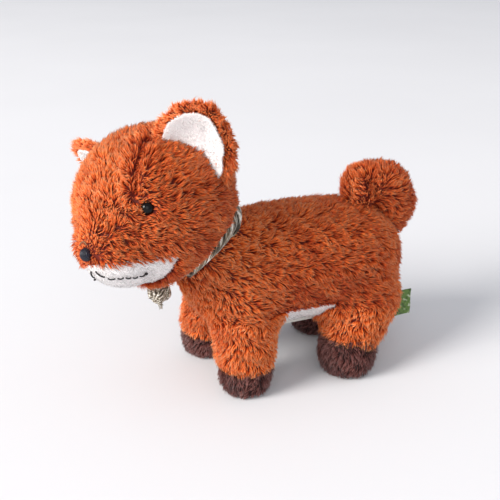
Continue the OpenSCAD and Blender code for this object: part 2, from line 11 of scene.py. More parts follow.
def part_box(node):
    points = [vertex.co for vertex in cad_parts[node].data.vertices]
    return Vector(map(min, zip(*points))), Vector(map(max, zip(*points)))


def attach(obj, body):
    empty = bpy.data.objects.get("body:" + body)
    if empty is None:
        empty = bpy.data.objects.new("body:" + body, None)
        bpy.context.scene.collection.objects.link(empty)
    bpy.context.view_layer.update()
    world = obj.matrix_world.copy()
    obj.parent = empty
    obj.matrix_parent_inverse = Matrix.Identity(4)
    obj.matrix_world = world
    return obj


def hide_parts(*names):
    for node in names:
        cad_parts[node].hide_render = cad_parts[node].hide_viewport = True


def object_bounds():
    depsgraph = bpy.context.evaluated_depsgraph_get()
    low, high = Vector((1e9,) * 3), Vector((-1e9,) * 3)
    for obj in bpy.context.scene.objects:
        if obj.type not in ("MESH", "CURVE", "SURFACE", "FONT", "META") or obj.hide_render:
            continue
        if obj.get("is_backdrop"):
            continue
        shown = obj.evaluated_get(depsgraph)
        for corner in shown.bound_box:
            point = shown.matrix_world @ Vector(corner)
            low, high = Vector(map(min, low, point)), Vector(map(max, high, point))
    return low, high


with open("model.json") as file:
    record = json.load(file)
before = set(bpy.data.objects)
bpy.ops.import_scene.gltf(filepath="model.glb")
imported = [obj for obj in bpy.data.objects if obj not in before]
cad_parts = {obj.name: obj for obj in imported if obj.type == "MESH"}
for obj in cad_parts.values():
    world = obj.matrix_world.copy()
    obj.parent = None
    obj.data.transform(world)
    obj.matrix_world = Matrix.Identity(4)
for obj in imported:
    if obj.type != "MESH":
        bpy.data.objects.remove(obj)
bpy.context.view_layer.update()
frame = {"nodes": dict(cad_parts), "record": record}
MM = 0.001


# ---------------------------------------------------------------- places of the animal's parts

SHIFT = Vector((0.0182, -0.0062, 0))
NECK_AT = SHIFT + Vector((-0.052, 0, 0.0881))
NECK_LEAN = math.radians(40)
HEAD_TURN = math.radians(29)
NECK = Matrix.Translation(NECK_AT) @ Matrix.Rotation(-NECK_LEAN, 4, "Y")
TURNED = NECK @ Matrix.Rotation(HEAD_TURN, 4, "Z")
HEAD = TURNED @ Matrix.Translation((-0.0033, 0, 0.033)) @ Matrix.Rotation(NECK_LEAN, 4, "Y")
HEAD_R = 40
SNOUT = Vector((-26, 0, -16))
SNOUT_R = 21.5
NEAR, FAR = -1, 1
ENDS = {"front": -1, "rear": 1}
SIDES = {"left": NEAR, "right": FAR}


def in_head(x, y, z):
    """A point given in the head's own frame, in millimetres"""
    return HEAD @ (Vector((x, y, z)) * MM)


def in_neck(x, y, z):
    """A point given in the leaning neck's frame, in millimetres"""
    return NECK @ (Vector((x, y, z)) * MM)


def in_body(x, y, z):
    """A point given from the middle of the four paws, in millimetres"""
    return SHIFT + Vector((x, y, z)) * MM


# ---------------------------------------------------------------- camera

LOOK = SHIFT + Vector((0, 0, 0.060))
AZIMUTH, ELEVATION, REACH = math.radians(-24.9), math.radians(23.2), 0.500
ASIDE, ABOVE = 0.0353, 0.0239
right = Vector((math.cos(AZIMUTH), math.sin(AZIMUTH), 0))
outward = Vector((math.sin(AZIMUTH), -math.cos(AZIMUTH), 0))
back = outward * math.cos(ELEVATION) + Vector((0, 0, math.sin(ELEVATION)))
up = back.cross(right)
lens = bpy.data.cameras.new("camera")
lens.lens = 59.4
lens.sensor_width = 36
lens.clip_start = 0.01
camera = bpy.data.objects.new("camera", lens)
bpy.context.scene.collection.objects.link(camera)
camera.location = LOOK + back * REACH
camera.rotation_mode = "QUATERNION"
camera.rotation_quaternion = (-back - right * ASIDE + up * ABOVE).to_track_quat("-Z", "Y")
bpy.context.scene.camera = camera


# ---------------------------------------------------------------- making and shaping meshes


def only(*pieces):
    """Selects just these pieces, the first one active"""
    bpy.ops.object.select_all(action="DESELECT")
    for piece in pieces:
        piece.select_set(True)
    bpy.context.view_layer.objects.active = pieces[0]


def edited(piece, operator, **settings):
    """Runs one edit-mode operator on the whole of a piece"""
    only(piece)
    bpy.ops.object.mode_set(mode="EDIT")
    bpy.ops.mesh.select_all(action="SELECT")
    operator(**settings)
    bpy.ops.object.mode_set(mode="OBJECT")


def finish_modifier(piece, modifier):
    """Applies a modifier, so that the piece keeps its result"""
    only(piece)
    bpy.ops.object.modifier_apply(modifier=modifier.name)


def ball(name, place, radius, stretch=(1, 1, 1), rings=40):
    """A stretched ball at a place, radius in millimetres"""
    bpy.ops.object.select_all(action="DESELECT")
    bpy.ops.mesh.primitive_uv_sphere_add(segments=2 * rings, ring_count=rings, radius=radius * MM)
    piece = bpy.context.active_object
    piece.name = name
    piece.data.transform(place @ Matrix.Diagonal((*stretch, 1)))
    return piece


def drum(name, place, radius, height, sides=64):
    """A closed cylinder standing on its place, in millimetres"""
    bpy.ops.object.select_all(action="DESELECT")
    bpy.ops.mesh.primitive_cylinder_add(vertices=sides, radius=radius * MM, depth=height * MM)
    piece = bpy.context.active_object
    piece.name = name
    piece.data.transform(place @ Matrix.Translation((0, 0, height * MM / 2)))
    return piece


def block(name, low, high, place=None):
    """A box between two corners, in metres"""
    low, high = Vector(low), Vector(high)
    bpy.ops.object.select_all(action="DESELECT")
    bpy.ops.mesh.primitive_cube_add(size=1)
    piece = bpy.context.active_object
    piece.name = name
    size = high - low
    piece.data.transform(
        (place or Matrix.Identity(4)) @ Matrix.Translation((low + high) / 2) @ Matrix.Diagonal((*size, 1))
    )
    return piece


def cover_of(node, name):
    """A welded copy of a CAD node's mesh"""
    source = frame["nodes"][node]
    piece = bpy.data.objects.new(name, source.data.copy())
    bpy.context.scene.collection.objects.link(piece)
    piece.data.materials.clear()
    edited(piece, bpy.ops.mesh.remove_doubles, threshold=0.01 * MM)
    return piece


def joined(name, *pieces):
    """Makes one piece of several, under the first one's object"""
    only(*pieces)
    bpy.ops.object.join()
    pieces[0].name = name
    return pieces[0]


def remesh(piece, voxel):
    """Gives a piece one even skin, its voxels in millimetres"""
    modifier = piece.modifiers.new("Remesh", "REMESH")
    modifier.mode = "VOXEL"
    modifier.voxel_size = voxel * MM
    modifier.use_smooth_shade = True
    finish_modifier(piece, modifier)


def soften(piece, times, factor=0.5):
    """Rounds off a piece's edges a number of times"""
    modifier = piece.modifiers.new("Smooth", "SMOOTH")
    modifier.factor = factor
    modifier.iterations = times
    finish_modifier(piece, modifier)


def subdivide(piece):
    """Splits each face of a piece in four, smoothly"""
    modifier = piece.modifiers.new("Subdivision", "SUBSURF")
    modifier.levels = modifier.render_levels = 1
    finish_modifier(piece, modifier)


def cut(piece, at, normal):
    """Removes what lies on the normal's side of a plane, and closes the cut"""
    edited(piece, bpy.ops.mesh.bisect, plane_co=at, plane_no=normal, use_fill=True, clear_outer=True)


def carve(piece, cutter):
    """Cuts a cutter's shape out of a piece, and removes the cutter"""
    modifier = piece.modifiers.new("Carve", "BOOLEAN")
    modifier.operation = "DIFFERENCE"
    modifier.solver = "EXACT"
    modifier.object = cutter
    finish_modifier(piece, modifier)
    bpy.data.objects.remove(cutter)


def places(piece):
    """Where a piece's vertices are"""
    co = np.empty(len(piece.data.vertices) * 3)
    piece.data.vertices.foreach_get("co", co)
    return co.reshape(-1, 3)


def normals(piece):
    """Which way a piece faces at each vertex"""
    no = np.empty(len(piece.data.vertices) * 3)
    piece.data.vertices.foreach_get("normal", no)
    return no.reshape(-1, 3)


def put(piece, co):
    """Moves a piece's vertices to new places"""
    piece.data.vertices.foreach_set("co", np.ascontiguousarray(co, dtype=np.float32).ravel())
    piece.data.update()


def unit(v):
    """Vectors brought to a length of one"""
    return v / np.maximum(np.linalg.norm(v, axis=-1, keepdims=True), 1e-12)


def seen_from(place, points):
    """Points in the frame of a place, in millimetres"""
    return (np.c_[points, np.ones(len(points))] @ np.array(place.inverted()).T)[:, :3] / MM


def to_path(points, path):
    """The distance of each point from a line through the path's points"""
    best = np.full(len(points), 1e9)
    for a, b in zip(path[:-1], path[1:]):
        a, b = np.array(a), np.array(b)
        t = np.clip((points - a) @ (b - a) / max((b - a) @ (b - a), 1e-12), 0, 1)
        best = np.minimum(best, np.linalg.norm(points - (a + t[:, None] * (b - a)), axis=1))
    return best


def off_path(points, path):
    """The way from the nearest point of a path to each point"""
    best, away = np.full(len(points), 1e9), np.zeros_like(points)
    for a, b in zip(path[:-1], path[1:]):
        a, b = np.array(a), np.array(b)
        t = np.clip((points - a) @ (b - a) / max((b - a) @ (b - a), 1e-12), 0, 1)
        step = points - (a + t[:, None] * (b - a))
        far = np.linalg.norm(step, axis=1)
        nearer = far < best
        best[nearer], away[nearer] = far[nearer], step[nearer]
    return away


def crease(piece, path, depth, width):
    """Draws the cover in along a path, or out where depth is negative, in millimetres"""
    co = places(piece)
    far = to_path(co, path) / (width * MM)
    put(piece, co - normals(piece) * (depth * MM * np.exp(-far * far))[:, None])


def drift(points, scale, seed):
    """A smooth wander between about -1 and 1 that repeats over scale millimetres"""
    rng = np.random.default_rng(seed)
    total = np.zeros(len(points))
    for _ in range(6):
        wave = unit(rng.normal(size=3)) * 2 * math.pi / (scale * MM) * rng.uniform(0.6, 1.6)
        total += np.sin(points @ wave + rng.uniform(0, 2 * math.pi))
    return total / 2.4


def stuff(piece, most, voxel=4.0):
    """Fills a closed cover as stuffing does: it swells under pressure, by at most so many millimetres"""
    co = places(piece)
    put(piece, co - normals(piece) * most * 0.4 * MM)
    remesh(piece, voxel)
    start = places(piece)
    cloth = piece.modifiers.new("Cloth", "CLOTH")
    cloth.settings.use_pressure = True
    cloth.settings.uniform_pressure_force = 4
    cloth.settings.effector_weights.gravity = 0
    for step in range(1, 15):
        bpy.context.scene.frame_set(step)
    shown = piece.evaluated_get(bpy.context.evaluated_depsgraph_get())
    end = np.empty(len(shown.data.vertices) * 3)
    shown.data.vertices.foreach_get("co", end)
    piece.modifiers.remove(cloth)
    move = end.reshape(-1, 3) - start
    far = np.linalg.norm(move, axis=1, keepdims=True)
    put(piece, start + move * np.minimum(1, most * MM / np.maximum(far, 1e-9)))
    bpy.context.scene.frame_set(1)
    subdivide(piece)
    soften(piece, 3)


# ---------------------------------------------------------------- pile


def tree_of(piece):
    """A piece's surface for nearest-point searches, with its box"""
    piece.data.calc_loop_triangles()
    triangles = np.empty(len(piece.data.loop_triangles) * 3, np.int64)
    piece.data.loop_triangles.foreach_get("vertices", triangles)
    triangles = triangles.reshape(-1, 3)
    co = places(piece)
    return bvhtree.BVHTree.FromPolygons(co.tolist(), triangles.tolist()), co.min(0), co.max(0)


def buried(points, trees, depth=0.0):
    """Which points lie inside one of the closed covers"""
    inside = np.zeros(len(points), bool)
    for tree, low, high in trees:
        for k in np.flatnonzero(~inside & (points > low).all(1) & (points < high).all(1)):
            p = Vector(points[k])
            at, normal, _, _ = tree.find_nearest(p)
            inside[k] = (p - at).dot(normal) < -depth * MM
    return inside


BENT = np.array(
    [[0, 1, 4], [0, 4, 3], [1, 2, 5], [1, 5, 4], [2, 0, 3],
     [2, 3, 5], [3, 4, 6], [4, 5, 6], [5, 3, 6], [2, 1, 0]]
)
STRAIGHT = np.array([[0, 1, 3], [1, 2, 3], [2, 0, 3], [2, 1, 0]])


def mesh_piece(name, co, triangles, uv):
    """A smooth mesh of triangles whose map holds the tint across and the height along each strand"""
    mesh = bpy.data.meshes.new(name)
    mesh.vertices.add(len(co))
    mesh.vertices.foreach_set("co", np.ascontiguousarray(co, dtype=np.float32).ravel())
    mesh.loops.add(triangles.size)
    mesh.loops.foreach_set("vertex_index", triangles.ravel().astype(np.int32))
    mesh.polygons.add(len(triangles))
    mesh.polygons.foreach_set("loop_start", np.arange(0, triangles.size, 3, dtype=np.int32))
    mesh.polygons.foreach_set("use_smooth", np.ones(len(triangles), bool))
    layer = mesh.uv_layers.new(name="OFBake")
    layer.data.foreach_set("uv", uv[triangles.ravel()].astype(np.float32).ravel())
    mesh.update(calc_edges=True)
    piece = bpy.data.objects.new(name, mesh)
    bpy.context.scene.collection.objects.link(piece)
    return piece


SHORT = {"width": 0.45, "pull": 0.3, "clump": 1.3, "bent": 0.2}


def pile(name, skin, flow, material, seed, per_mm2=2.0, length=5.8, width=0.66, rise=0.6, lean=0.8,
         swirl=0.55, clump=2.0, pull=0.55, bare=None, trees=(), trim=None, tint=None, cap=26000, bent=0.45):
    """Covers a skin with tufts of fibre, and returns the pieces, the first with the skin itself.
    flow gives the way the pile lies at each point, bare says where there is none, trim scales its length."""
    rng = np.random.default_rng(seed)
    skin.data.calc_loop_triangles()
    faces = np.empty(len(skin.data.loop_triangles) * 3, np.int64)
    skin.data.loop_triangles.foreach_get("vertices", faces)
    faces = faces.reshape(-1, 3)
    co, no = places(skin), normals(skin)
    a, b, c = co[faces[:, 0]], co[faces[:, 1]], co[faces[:, 2]]
    area = np.linalg.norm(np.cross(b - a, c - a), axis=1) / 2
    count = int(area.sum() / MM**2 * per_mm2)
    pick = rng.choice(len(faces), count, p=area / area.sum())
    r1, r2 = np.sqrt(rng.random(count)), rng.random(count)
    share = np.stack([1 - r1, r1 * (1 - r2), r1 * r2], 1)
    root = np.einsum("nk,nkj->nj", share, co[faces[pick]])
    n = unit(np.einsum("nk,nkj->nj", share, no[faces[pick]]))
    keep = ~buried(root + n * 0.8 * MM, trees)
    if bare is not None:
        keep &= ~bare(root, n)
    root, n = root[keep], n[keep]
    count = len(root)

    way = flow(root, n)
    way = unit(way - n * (way * n).sum(1, keepdims=True))
    side = np.cross(n, way)
    angle = (swirl * drift(root, 12, seed + 1) + 0.6 * swirl * drift(root, 4, seed + 2))[:, None]
    way = way * np.cos(angle) + side * np.sin(angle)
    toward = unit(n * rise + way * lean + rng.normal(size=(count, 3)) * 0.15)
    size = length * MM * rng.uniform(0.7, 1.15, count) * (1 + 0.10 * drift(root, 6, seed + 3))
    if trim is not None:
        size = size * trim(root, n)
    size = size[:, None]

    centres = rng.choice(count, max(1, int(count / (per_mm2 * clump * clump))), replace=False)
    near = kdtree.KDTree(len(centres))
    for k, i in enumerate(centres):
        near.insert(root[i], k)
    near.balance()
    own = np.array([near.find(p)[1] for p in root])
    heart = centres[own]
    tip = root + toward * size
    gather = root[heart] + toward[heart] * size[heart] * 1.1
    tip = tip + (gather - tip) * (pull * rng.uniform(0.2, 1, (count, 1)))
    middle = root + (tip - root) * 0.52 + n * size * 0.12
    low = 0.35 * MM
    for ring in (tip, middle):
        ring[:, 2] = np.maximum(ring[:, 2], low)

    along = unit(tip - root)
    across = unit(np.cross(along, n) + 1e-9)
    over = np.cross(across, along)
    w = (width * MM * rng.uniform(0.7, 1.25, count))[:, None]
    rings = []
    for centre, thick in ((root - n * 0.3 * MM, 0.5), (middle, 0.42)):
        for turn in (0, 2.0944, 4.18879):
            rings.append(centre + (across * math.cos(turn) + over * math.sin(turn) * 0.75) * w * thick)
    strand = np.stack([*rings, tip], 1)

    shade = 0.5 + 0.16 * drift(root[centres], 16, seed + 4)[own] + rng.normal(size=len(centres))[own] * 0.10
    shade = shade + rng.normal(size=count) * 0.19
    # tint adds the painted light and shade of each cover to the fibres' colour.
    if tint is not None:
        shade = shade + tint(root, n)
    shade = np.clip(shade, 0.02, 0.98)
    height = np.array([0.06, 0.06, 0.06, 0.55, 0.55, 0.55, 0.98])
    uv = np.stack([np.repeat(shade[:, None], 7, 1), np.repeat(height[None], count, 0)], 2)

    pieces = []
    groups = max(1, math.ceil(count / cap))
    order = np.argsort(root[:, 0], kind="stable")
    for g, members in enumerate(np.array_split(order, groups)):
        curved = rng.random(len(members)) < bent
        v, t, m, base = [], [], [], 0
        kinds = ((members[curved], [0, 1, 2, 3, 4, 5, 6], BENT), (members[~curved], [0, 1, 2, 6], STRAIGHT))
        for chosen, corners, shape in kinds:
            first = base + len(corners) * np.arange(len(chosen))[:, None, None]
            v.append(strand[chosen][:, corners].reshape(-1, 3))
            m.append(uv[chosen][:, corners].reshape(-1, 2))
            t.append((shape[None] + first).reshape(-1, 3))
            base += len(corners) * len(chosen)
        if g == 0:
            # The skin under the pile takes the colour of the fibres' roots: painted shade between the fibres.
            t.append(faces + base)
            v.append(co)
            m.append(np.tile([0.4, 0.02], (len(co), 1)))
        title = name if g == 0 else f"{name}_{g + 1}"
        piece = mesh_piece(title, np.concatenate(v), np.concatenate(t), np.concatenate(m))
        piece.data.materials.append(material)
        pieces.append(piece)
    bpy.data.objects.remove(skin)
    return pieces


# ---------------------------------------------------------------- materials


def colour(code):
    """An sRGB hex colour as the linear one that a shader takes"""
    parts = [int(code[i : i + 2], 16) / 255 for i in (1, 3, 5)]
    return (*[p / 12.92 if p <= 0.04045 else ((p + 0.055) / 1.055) ** 2.4 for p in parts], 1)


def add(tree, kind, links=None, **settings):
    """Adds a node: settings are its own or its inputs' values, and links join its inputs to sockets"""
    node = tree.nodes.new(kind)
    for key, value in settings.items():
        if hasattr(node, key):
            setattr(node, key, value)
        else:
            node.inputs[key.replace("_", " ")].default_value = value
    for key, source in (links or {}).items():
        tree.links.new(source, node.inputs[key])
    return node


def finish(name, **shader):
    """A new material and its shader, with the shader's own values set"""
    material = bpy.data.materials.new(name)
    material.use_nodes = True
    principled = material.node_tree.nodes["Principled BSDF"]
    for key, value in shader.items():
        principled.inputs[key.replace("_", " ")].default_value = value
    return material, material.node_tree, principled


def ramp(tree, source, stops):
    """Colours for the values of a socket, from stops of a value and a hex colour"""
    node = add(tree, "ShaderNodeValToRGB", {"Fac": source})
    for _ in stops[2:]:
        node.color_ramp.elements.new(0.5)
    for element, (at, code) in zip(node.color_ramp.elements, stops):
        element.position = at
        element.color = colour(code)
    return node.outputs["Color"]


def pile_finish(name, dull, bright, sheen):
    """Pile fabric, coloured up each fibre: painted shade at the roots between the fibres, painted light at
    the pale tips. The map gives each clump's tint and height.
    """
    material, tree, shader = finish(name, Roughness=0.62, Sheen_Weight=sheen, Sheen_Roughness=0.45,
                                    Specular_IOR_Level=0.28)
    own = add(tree, "ShaderNodeUVMap", uv_map="OFBake")
    split = add(tree, "ShaderNodeSeparateXYZ", {"Vector": own.outputs["UV"]})
    low = ramp(tree, split.outputs["Y"], dull)
    high = ramp(tree, split.outputs["Y"], bright)
    mixed = add(tree, "ShaderNodeMix", data_type="RGBA")
    tree.links.new(split.outputs["X"], mixed.inputs["Factor"])
    tree.links.new(low, mixed.inputs[6])
    tree.links.new(high, mixed.inputs[7])
    tree.links.new(mixed.outputs[2], shader.inputs["Base Color"])
    return material


# Rust polyester pile, orange along the fibre: the deep red-brown at the roots is painted shade in the gaps
# between the fibres, and the peach at the tips is painted light.
rust = pile_finish(
    "rust_polyester_pile",
    [(0.0, "#2e0400"), (0.3, "#8a1f02"), (0.65, "#c4440e"), (1.0, "#e06c2c")],
    [(0.0, "#701400"), (0.3, "#d84e12"), (0.65, "#f98238"), (1.0, "#ffc291")],
    0.04,
)
# Dark brown pile with a purple cast, glossier along each longer fibre: the near-black roots are painted shade
# between the fibres, the paler tips painted light.
brown = pile_finish(
    "brown_polyester_pile",
    [(0.0, "#120404"), (0.3, "#381412"), (0.65, "#552520"), (1.0, "#74403a")],
    [(0.0, "#200808"), (0.3, "#582723"), (0.65, "#86504a"), (1.0, "#b8857d")],
    0.1,
)
# Off-white short pile: clipped fibres that read as a soft grain; the greyer roots are painted shade between
# the fibres.
cream = pile_finish(
    "cream_clipped_pile",
    [(0.0, "#ebe5e6"), (0.3, "#f4f0f0"), (0.65, "#faf8f7"), (1.0, "#fffefd")],
    [(0.0, "#f2eeee"), (0.3, "#f8f5f5"), (0.65, "#fdfcfb"), (1.0, "#ffffff")],
    0.2,
)


def grained(name, base, second, scale, rough, rough_span=0.1, bump=0.0, **shader):
    """A surface that wanders between two tones, with a matching change of polish and a fine relief"""
    material, tree, principled = finish(name, **shader)
    place = add(tree, "ShaderNodeTexCoord")
    spot = {"Vector": place.outputs["Object"]}
    noise = add(tree, "ShaderNodeTexNoise", spot, Scale=1000 / scale, Detail=4)
    tone = ramp(tree, noise.outputs["Fac"], [(0.3, base), (0.7, second)])
    tree.links.new(tone, principled.inputs["Base Color"])
    polish = add(tree, "ShaderNodeMapRange", {"Value": noise.outputs["Fac"]}, To_Min=rough,
                 To_Max=rough + rough_span)
    tree.links.new(polish.outputs["Result"], principled.inputs["Roughness"])
    if bump:
        relief = add(tree, "ShaderNodeBump", {"Height": noise.outputs["Fac"]}, Strength=0.5,
                     Distance=bump * MM)
        tree.links.new(relief.outputs["Normal"], principled.inputs["Normal"])
    return material


# Glossy black eye plastic: near-black, one clear highlight, faint handling haze.
eye_plastic = grained("gloss_black_eye_plastic", "#050404", "#0b0909", 3, 0.06, 0.05,
                      Specular_IOR_Level=0.22)
# Satin-stitched embroidery floss: blue-black with a silky sheen.
nose_floss = grained("blue_black_floss", "#06070e", "#171b30", 0.6, 0.28, 0.2, 0.05, Sheen_Weight=0.1,
                     Specular_IOR_Level=0.3)
# Black sewing thread: dull twist.
thread_black = grained("black_sewing_thread", "#0f0d0e", "#2b2628", 0.5, 0.6, 0.2, 0.05)
# Brown sewing thread left showing above the nose.
thread_brown = grained("brown_sewing_thread", "#6d4a34", "#9a7450", 0.5, 0.6, 0.2, 0.05)
# Moulded ABS: warm grey-white, fine spark-eroded grain.
core_plastic = grained("moulded_abs", "#cfcfc9", "#dcdcd6", 1.2, 0.42, 0.12, 0.02)
# Black moulded plastic: satin, fine grain.
black_plastic = grained("black_moulded_abs", "#1d1f22", "#2a2c2f", 1.0, 0.4, 0.12, 0.02)
# Nylon gears: waxy white.
nylon = grained("gear_nylon", "#e9e7e0", "#f3f1ea", 4, 0.45, 0.1, Subsurface_Weight=0.1)
# Plain steel: brushed grey with slight tone changes.
steel = grained("plain_steel", "#9c9fa3", "#b9bcc0", 0.8, 0.28, 0.14, 0.01, Metallic=1.0)
# Turned brass: yellow metal.
brass = grained("turned_brass", "#b08c3a", "#cfae5e", 0.8, 0.25, 0.14, 0.01, Metallic=1.0)
# Solder mask over copper: green gloss with darker tracks.
board_mask = grained("green_solder_mask", "#1c5a34", "#2f7a4a", 1.6, 0.25, 0.1, 0.02)
# Shrink film on the cells: blue gloss film.
sleeve = grained("blue_shrink_film", "#2f5f92", "#4a82b4", 9, 0.22, 0.08)


def cotton_finish():
    """Rolled cotton strip: olive-brown weave, with paler grey and off-white runs along the twist"""
    material, tree, shader = finish("olive_cotton_weave", Roughness=0.85, Sheen_Weight=0.25)
    place = add(tree, "ShaderNodeTexCoord")
    runs = add(tree, "ShaderNodeMapping", {"Vector": place.outputs["UV"]}, Scale=(16, 20, 1))
    streak = add(tree, "ShaderNodeTexNoise", {"Vector": runs.outputs["Vector"]}, Scale=1.0, Detail=5,
                 Roughness=0.62)
    tone = ramp(tree, streak.outputs["Fac"],
                [(0.36, "#241c14"), (0.46, "#54483a"), (0.51, "#85775f"), (0.55, "#d2c9b8"),
                 (0.61, "#fbf8f1")])
    tree.links.new(tone, shader.inputs["Base Color"])
    weave = add(tree, "ShaderNodeTexNoise", {"Vector": place.outputs["Object"]}, Scale=2600.0, Detail=2)
    relief = add(tree, "ShaderNodeBump", {"Height": weave.outputs["Fac"]}, Strength=0.6, Distance=0.15 * MM)
    tree.links.new(relief.outputs["Normal"], shader.inputs["Normal"])
    return material


cotton = cotton_finish()


def ribbon_finish():
    """Woven label ribbon: green ribs with scattered dark and pale picks, and no lettering"""
    material, tree, shader = finish("green_woven_ribbon", Roughness=0.7, Sheen_Weight=0.2)
    place = add(tree, "ShaderNodeTexCoord")
    ribs = add(tree, "ShaderNodeTexWave", {"Vector": place.outputs["Object"]}, Scale=420.0, Distortion=0.8,
               bands_direction="Z")
    flecks = add(tree, "ShaderNodeTexNoise", {"Vector": place.outputs["Object"]}, Scale=420.0, Detail=1)
    base = ramp(tree, ribs.outputs["Fac"], [(0.0, "#2c4a18"), (1.0, "#5d8232")])
    picks = ramp(tree, flecks.outputs["Fac"],
                 [(0.40, "#1f2a18"), (0.44, "#5f8036"), (0.60, "#5f8036"), (0.66, "#dfe3cf")])
    mixed = add(tree, "ShaderNodeMix", data_type="RGBA")
    mixed.inputs["Factor"].default_value = 0.55
    tree.links.new(base, mixed.inputs[6])
    tree.links.new(picks, mixed.inputs[7])
    tree.links.new(mixed.outputs[2], shader.inputs["Base Color"])
    relief = add(tree, "ShaderNodeBump", {"Height": ribs.outputs["Fac"]}, Strength=0.5, Distance=0.12 * MM)
    tree.links.new(relief.outputs["Normal"], shader.inputs["Normal"])
    return material


ribbon = ribbon_finish()


# ---------------------------------------------------------------- stuffed covers


def hull_of(name, a, ra, b, rb):
    """The closed hull of two balls, in millimetres from the middle of the paws"""
    piece = joined(
        name,
        ball(name, Matrix.Translation(in_body(*a)), ra, rings=14),
        ball("end", Matrix.Translation(in_body(*b)), rb, rings=14),
    )
    edited(piece, bpy.ops.mesh.convex_hull)
    return piece


def copy_of(piece, name):
    """A second piece with its own mesh"""
    other = piece.copy()
    other.data = piece.data.copy()
    other.name = name
    bpy.context.scene.collection.objects.link(other)
    return other


def keep_common(piece, cutter):
    """Leaves only what lies in the cutter too"""
    modifier = piece.modifiers.new("Common", "BOOLEAN")
    modifier.operation = "INTERSECT"
    modifier.solver = "EXACT"
    modifier.object = cutter
    finish_modifier(piece, modifier)


def leg_hull(end, side, more=0.0):
    """A leg from its paw to its thigh or shoulder, grown by some millimetres"""
    rear = end > 0
    x = 33 * end
    step = 8 if rear else -5
    paw = (x + step * (side == FAR), side * (29 if rear else 26.5), 17)
    top = (x + 15.5, side * 14, 44) if rear else (x + 2, side * 18.5, 52)
    return hull_of("leg", top, (22 if rear else 17.5) + more, paw, 13.6 + more)


def blunt_body(name, more=0.0):
    """The torso: a ball drawn out along the back, with blunt ends, grown by some millimetres"""
    piece = ball(name, Matrix.Identity(4), 1000, rings=56)
    co = places(piece)
    t = np.clip(co[:, 0], -1, 1)
    round_now = np.sqrt(np.maximum(1 - t * t, 1e-9))
    blunt = np.sqrt(np.maximum(1 - np.abs(t) ** 3.2, 0)) / round_now
    r = (33 + more) * MM
    co = np.stack([0.009 + t * (0.067 + more * MM), co[:, 1] * blunt * r, 0.065 + co[:, 2] * blunt * r], 1)
    put(piece, co + np.array(SHIFT))
    return piece


# Torso and legs are filled as one form, so that they run into each other, and then parted along their seams.
neck = drum("neck", NECK @ Matrix.Translation((0, 0, -0.034)), 25, 34)
leg_forms = [leg_hull(e, s, 2.4) for e in ENDS.values() for s in SIDES.values()]
form = joined("form", blunt_body("torso", 2.6), neck, *leg_forms)
remesh(form, 2.6)
soften(form, 12, 0.5)
stuff(form, 1.6)
soften(form, 4)
low, high = (Vector(c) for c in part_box("battery_box"))
room_low, room_high = low - Vector((0.6, 0.6, 20)) * MM, high + Vector((0.6, 0.6, 0.6)) * MM
carve(form, block("above", (-0.12, -0.12, -0.0003), (0.12, 0.12, 0.2397), NECK))
carve(form, block("below", in_body(-120, -80, -60), in_body(9, 80, 17)))
slope = Matrix.Translation(in_body(37, 0, 21)) @ Matrix.Rotation(math.radians(15), 4, "Y")
carve(form, block("below", (-0.027, -0.08, -0.06), (0.08, 0.08, 0), slope))
carve(form, block("room", room_low, room_high))
legs, paws = {}, {}
torso = copy_of(form, "torso")
form_tree = tree_of(form)[0]
for end, e in ENDS.items():
    for side, s in SIDES.items():
        region = leg_hull(e, s, 7.0)
        edge_low, edge_high = ((-80, -60, 0), (0, 60, 48)) if e < 0 else ((0, -60, 0), (110, 60, 44))
        edge = block("edge", in_body(*edge_low), in_body(*edge_high))
        keep_common(region, edge)
        bpy.data.objects.remove(edge)
        legs[end, side] = copy_of(form, f"leg_{end}_{side}_form")
        keep_common(legs[end, side], region)
        carve(torso, region)
bpy.data.objects.remove(form)
belly = copy_of(torso, "belly")
under = block("under", in_body(-28, -34, 0), in_body(23, 34, 47))
keep_common(belly, under)
carve(torso, under)

for end in ENDS:
    for side in SIDES:
        paws[end, side] = cover_of(f"paw_{end}_{side}", f"paw_{end}_{side}_form")
        co = places(paws[end, side])
        co[:, 2] *= 1.6 if end == "rear" else 1.35
        put(paws[end, side], co)
        stuff(paws[end, side], 1.2, voxel=2.4)
        soften(paws[end, side], 6)

# Head: a ball with a snout over the neck's cut.
head = joined(
    "head",
    ball("head", HEAD, HEAD_R + 2.8),
    ball("snout", HEAD @ Matrix.Translation(SNOUT * MM), SNOUT_R + 2.2),
)
stuff(head, 1.6, voxel=3.0)
soften(head, 4)


DART_R = 43


def dart_of(side, radius):
    """The sewn dart that runs over the head down to an eye, on a ball of a radius in the head's own frame"""
    marks = ((-3.2, 18.2 * side, 38.3), (-22.6, 24 * side, 26.8), (-31, 27 * side, 10))
    corners = [Vector(p) for p in marks]
    run = [a.lerp(b, t / 4) for a, b in zip(corners[:-1], corners[1:]) for t in range(4)] + [corners[-1]]
    return [tuple(p.normalized() * radius) for p in run]


def from_dart(p):
    """Distance from the darts, in millimetres over the head"""
    local = unit(seen_from(HEAD, p)) * DART_R
    return np.minimum(*(to_path(local, dart_of(s, DART_R)) for s in (NEAR, FAR)))


for side in (NEAR, FAR):
    crease(head, [np.array(in_head(*p)) for p in dart_of(side, DART_R)], 3.6, 2.4)
    cheek = ((-33.8, 25.7 * side, -1.6), (-40.1, 17.2 * side, -7), (-45.4, 13.8 * side, -12.9))
    crease(head, [np.array(in_head(*p)) for p in cheek], -1.0, 3.2)
cut(head, in_neck(0, 0, 0.8), -(NECK.to_3x3() @ Vector((0, 0, 1))))

